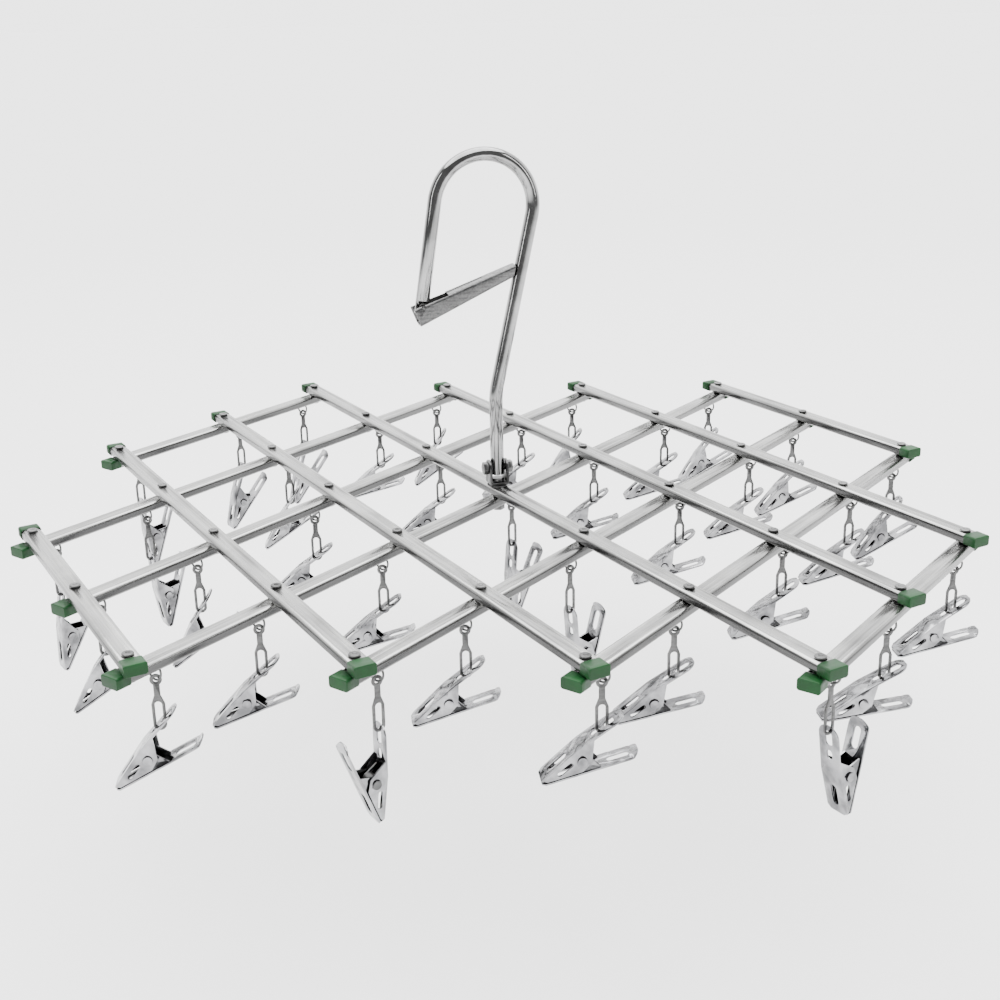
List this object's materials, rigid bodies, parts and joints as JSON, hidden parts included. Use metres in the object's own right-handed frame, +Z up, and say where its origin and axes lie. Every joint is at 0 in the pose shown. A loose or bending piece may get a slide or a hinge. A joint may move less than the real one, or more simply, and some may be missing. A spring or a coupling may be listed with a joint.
{
  "type": "clip drying hanger",
  "caption": "Folding lattice drying hanger: riveted crossing steel bars with sprung clips on swinging links under the crossings and a swivelling, tilting top hook with a gate.",
  "frame": {"origin": "pole seat: underside of the hook's arch, at its highest point", "axes": "+X along the lattice's long diagonal, +Y away from the side the clips' tips face, +Z up"},
  "size_m": [0.5403, 0.504, 0.2911],
  "materials": {
    "bar_steel": "fine brushed stainless, light scuffs",
    "hook_steel": "polished bright steel",
    "gate_steel": "grainy brushed sheet",
    "clip_steel": "tumbled stamped stainless",
    "link_steel": "stamped stainless",
    "fastener_steel": "turned and plated",
    "spring_steel": "dark spring wire",
    "cap_green": "moulded green plastic, soft gloss"
  },
  "bodies": {
    "hook": {"hook_rod": "hook_steel", "gate_pin": "fastener_steel", "gate_spring": "spring_steel"},
    "gate": {"hook_gate": "gate_steel"},
    "yoke": {"swivel_yoke": "fastener_steel", "cross_bolt": "fastener_steel"},
    "upper_1": {"upper_bar_1": "bar_steel", "upper_caps_1": "cap_green"},
    "lower_1": {"lower_bar_1": "bar_steel", "lower_caps_1": "cap_green", "rivets_1": "fastener_steel"},
    "clip_row_1": {"links_1": "link_steel", "clips_1": "clip_steel"},
    "upper_2": {"upper_bar_2": "bar_steel", "upper_caps_2": "cap_green"},
    "lower_2": {"lower_bar_2": "bar_steel", "lower_caps_2": "cap_green", "rivets_2": "fastener_steel"},
    "clip_row_2": {"links_2": "link_steel", "clips_2": "clip_steel"},
    "upper_3": {"upper_bar_3": "bar_steel", "upper_caps_3": "cap_green"},
    "lower_3": {"lower_bar_3": "bar_steel", "lower_caps_3": "cap_green", "rivets_3": "fastener_steel"},
    "clip_row_3": {"links_3": "link_steel", "clips_3": "clip_steel"},
    "upper_4": {"upper_bar_4": "bar_steel", "upper_caps_4": "cap_green"},
    "lower_4": {"lower_bar_4": "bar_steel", "lower_caps_4": "cap_green", "rivets_4": "fastener_steel"},
    "clip_row_4": {"links_4": "link_steel", "clips_4": "clip_steel"},
    "upper_5": {"upper_bar_5": "bar_steel", "upper_caps_5": "cap_green"},
    "lower_5": {"lower_bar_5": "bar_steel", "lower_caps_5": "cap_green", "rivets_5": "fastener_steel"},
    "clip_row_5": {"links_5": "link_steel", "clips_5": "clip_steel"},
    "upper_6": {"upper_bar_6": "bar_steel", "upper_caps_6": "cap_green"},
    "lower_6": {"lower_bar_6": "bar_steel", "lower_caps_6": "cap_green", "rivets_6": "fastener_steel"},
    "clip_row_6": {"links_6": "link_steel", "clips_6": "clip_steel"},
    "upper_7": {"upper_bar_7": "bar_steel", "upper_caps_7": "cap_green"},
    "lower_7": {"lower_bar_7": "bar_steel", "lower_caps_7": "cap_green", "rivets_7": "fastener_steel"},
    "clip_row_7": {"links_7": "link_steel", "clips_7": "clip_steel"},
    "front_link": {"front_link": "link_steel"},
    "front_clip": {"front_upper_jaw": "clip_steel", "front_pin": "fastener_steel", "front_spring": "spring_steel"},
    "front_jaw": {"front_lower_jaw": "clip_steel"}
  },
  "joints": [
    {"name": "hook_tilt", "type": "hinge", "parent": "hook", "child": "yoke", "pos_m": [0.00432, 0.00157, -0.1815], "axis": [0.9397, 0.342, 0], "range_deg": [-80, 80]},
    {"name": "gate_open", "type": "hinge", "parent": "hook", "child": "gate", "pos_m": [-0.0361, -0.01314, -0.07976], "axis": [0.342, -0.9397, 0], "range_deg": [0, 35], "stiffness_Nm_per_rad": 0.02, "springref_deg": -22.92},
    {"name": "hook_swivel", "type": "hinge", "parent": "yoke", "child": "upper_4", "pos_m": [0.00432, 0.00157, -0.193], "axis": [0, 0, 1], "continuous": true},
    {"name": "frame_fold", "type": "hinge", "parent": "upper_4", "child": "lower_4", "pos_m": [0.00432, 0.00157, -0.199], "axis": [0, 0, 1], "range_deg": [-24, 36]},
    {"name": "upper_1_turn", "type": "hinge", "parent": "lower_4", "child": "upper_1", "pos_m": [-0.1509, -0.23745, -0.199], "axis": [0, 0, 1], "range_deg": [-36, 24]},
    {"name": "lower_1_turn", "type": "hinge", "parent": "upper_4", "child": "lower_1", "pos_m": [0.15954, -0.23745, -0.199], "axis": [0, 0, 1], "range_deg": [-24, 36]},
    {"name": "upper_2_turn", "type": "hinge", "parent": "lower_4", "child": "upper_2", "pos_m": [-0.09916, -0.15777, -0.199], "axis": [0, 0, 1], "range_deg": [-36, 24]},
    {"name": "lower_2_turn", "type": "hinge", "parent": "upper_4", "child": "lower_2", "pos_m": [0.1078, -0.15777, -0.199], "axis": [0, 0, 1], "range_deg": [-24, 36]},
    {"name": "upper_3_turn", "type": "hinge", "parent": "lower_4", "child": "upper_3", "pos_m": [-0.04742, -0.0781, -0.199], "axis": [0, 0, 1], "range_deg": [-36, 24]},
    {"name": "lower_3_turn", "type": "hinge", "parent": "upper_4", "child": "lower_3", "pos_m": [0.05606, -0.0781, -0.199], "axis": [0, 0, 1], "range_deg": [-24, 36]},
    {"name": "upper_5_turn", "type": "hinge", "parent": "lower_4", "child": "upper_5", "pos_m": [0.05606, 0.08125, -0.199], "axis": [0, 0, 1], "range_deg": [-36, 24]},
    {"name": "lower_5_turn", "type": "hinge", "parent": "upper_4", "child": "lower_5", "pos_m": [-0.04742, 0.08125, -0.199], "axis": [0, 0, 1], "range_deg": [-24, 36]},
    {"name": "upper_6_turn", "type": "hinge", "parent": "lower_4", "child": "upper_6", "pos_m": [0.1078, 0.16092, -0.199], "axis": [0, 0, 1], "range_deg": [-36, 24]},
    {"name": "lower_6_turn", "type": "hinge", "parent": "upper_4", "child": "lower_6", "pos_m": [-0.09916, 0.16092, -0.199], "axis": [0, 0, 1], "range_deg": [-24, 36]},
    {"name": "upper_7_turn", "type": "hinge", "parent": "lower_4", "child": "upper_7", "pos_m": [0.15954, 0.24059, -0.199], "axis": [0, 0, 1], "range_deg": [-36, 24]},
    {"name": "lower_7_turn", "type": "hinge", "parent": "upper_4", "child": "lower_7", "pos_m": [-0.1509, 0.24059, -0.199], "axis": [0, 0, 1], "range_deg": [-24, 36]},
    {"name": "row_swing_1", "type": "hinge", "parent": "lower_1", "child": "clip_row_1", "pos_m": [0.15954, -0.23745, -0.207], "axis": [0.5446, 0.8387, 0], "range_deg": [-25, 25]},
    {"name": "row_swing_2", "type": "hinge", "parent": "lower_2", "child": "clip_row_2", "pos_m": [0.05606, -0.23745, -0.207], "axis": [0.5446, 0.8387, 0], "range_deg": [-25, 25]},
    {"name": "row_swing_3", "type": "hinge", "parent": "lower_3", "child": "clip_row_3", "pos_m": [-0.04742, -0.23745, -0.207], "axis": [0.5446, 0.8387, 0], "range_deg": [-25, 25]},
    {"name": "row_swing_4", "type": "hinge", "parent": "lower_4", "child": "clip_row_4", "pos_m": [-0.1509, -0.23745, -0.207], "axis": [0.5446, 0.8387, 0], "range_deg": [-25, 25]},
    {"name": "row_swing_5", "type": "hinge", "parent": "lower_5", "child": "clip_row_5", "pos_m": [-0.20264, -0.15777, -0.207], "axis": [0.5446, 0.8387, 0], "range_deg": [-25, 25]},
    {"name": "row_swing_6", "type": "hinge", "parent": "lower_6", "child": "clip_row_6", "pos_m": [-0.25438, -0.0781, -0.207], "axis": [0.5446, 0.8387, 0], "range_deg": [-25, 25]},
    {"name": "row_swing_7", "type": "hinge", "parent": "lower_7", "child": "clip_row_7", "pos_m": [-0.25438, 0.08125, -0.207], "axis": [0.5446, 0.8387, 0], "range_deg": [-25, 25]},
    {"name": "front_link_swing", "type": "hinge", "parent": "clip_row_3", "child": "front_link", "pos_m": [-0.03979, -0.22571, -0.2112], "axis": [-0.6018, 0.7986, 0], "range_deg": [-20, 20]},
    {"name": "front_clip_swing", "type": "hinge", "parent": "front_link", "child": "front_clip", "pos_m": [-0.03979, -0.22571, -0.2342], "axis": [-0.6018, 0.7986, 0], "range_deg": [-25, 25]},
    {"name": "front_jaw_open", "type": "hinge", "parent": "front_clip", "child": "front_jaw", "pos_m": [-0.04462, -0.22934, -0.26088], "axis": [-0.6018, 0.7986, 0], "range_deg": [0, 18], "stiffness_Nm_per_rad": 0.05, "springref_deg": -28.65}
  ],
  "couplings": [
    {"joint": "upper_1_turn", "follows": "frame_fold", "ratio": -1},
    {"joint": "lower_1_turn", "follows": "frame_fold", "ratio": 1},
    {"joint": "upper_2_turn", "follows": "frame_fold", "ratio": -1},
    {"joint": "lower_2_turn", "follows": "frame_fold", "ratio": 1},
    {"joint": "upper_3_turn", "follows": "frame_fold", "ratio": -1},
    {"joint": "lower_3_turn", "follows": "frame_fold", "ratio": 1},
    {"joint": "upper_5_turn", "follows": "frame_fold", "ratio": -1},
    {"joint": "lower_5_turn", "follows": "frame_fold", "ratio": 1},
    {"joint": "upper_6_turn", "follows": "frame_fold", "ratio": -1},
    {"joint": "lower_6_turn", "follows": "frame_fold", "ratio": 1},
    {"joint": "upper_7_turn", "follows": "frame_fold", "ratio": -1},
    {"joint": "lower_7_turn", "follows": "frame_fold", "ratio": 1}
  ]
}
